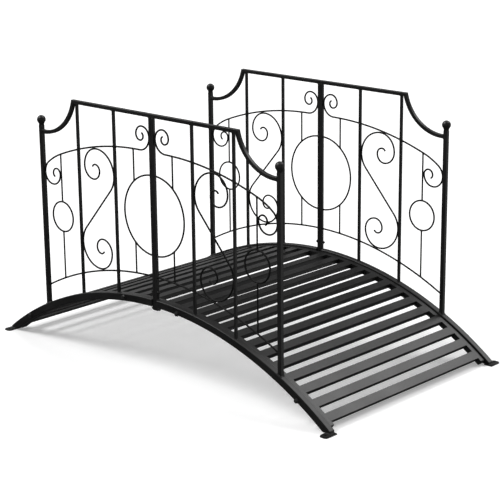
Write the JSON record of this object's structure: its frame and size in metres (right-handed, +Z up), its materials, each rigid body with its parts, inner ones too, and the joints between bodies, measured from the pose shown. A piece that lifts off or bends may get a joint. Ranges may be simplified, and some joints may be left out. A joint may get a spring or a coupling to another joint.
{
  "type": "arched garden footbridge",
  "caption": "Arched steel garden footbridge with a slatted deck, scrollwork side railings, swan-neck top rails, ball finials and anchor feet.",
  "frame": {"origin": "on the ground under the middle of the span, midway between the railings", "axes": "+X along the bridge, +Y across it towards the back railing, +Z up"},
  "size_m": [1.531, 0.896, 0.88],
  "materials": {
    "railing_black": "satin black powder coat",
    "deck_black": "satin black powder coat"
  },
  "bodies": {
    "root": {"front_left_beam": "railing_black", "front_right_beam": "railing_black", "back_left_beam": "railing_black", "back_right_beam": "railing_black", "front_left_end_post": "railing_black", "front_right_end_post": "railing_black", "back_left_end_post": "railing_black", "back_right_end_post": "railing_black", "front_left_centre_post": "railing_black", "front_right_centre_post": "railing_black", "back_left_centre_post": "railing_black", "back_right_centre_post": "railing_black", "front_left_top_rail": "railing_black", "front_right_top_rail": "railing_black", "back_left_top_rail": "railing_black", "back_right_top_rail": "railing_black", "front_left_balusters": "railing_black", "front_right_balusters": "railing_black", "back_left_balusters": "railing_black", "back_right_balusters": "railing_black", "front_left_arch_scroll": "railing_black", "front_right_arch_scroll": "railing_black", "back_left_arch_scroll": "railing_black", "back_right_arch_scroll": "railing_black", "front_left_lower_rod": "railing_black", "front_right_lower_rod": "railing_black", "back_left_lower_rod": "railing_black", "back_right_lower_rod": "railing_black", "front_left_s_scroll": "railing_black", "front_right_s_scroll": "railing_black", "back_left_s_scroll": "railing_black", "back_right_s_scroll": "railing_black", "front_left_rings": "railing_black", "front_right_rings": "railing_black", "back_left_rings": "railing_black", "back_right_rings": "railing_black", "foot_plates": "railing_black", "finials": "railing_black", "front_drop_rods": "railing_black", "back_drop_rods": "railing_black", "left_deck_frame": "deck_black", "right_deck_frame": "deck_black", "left_slats": "deck_black", "right_slats": "deck_black"}
  },
  "joints": []
}
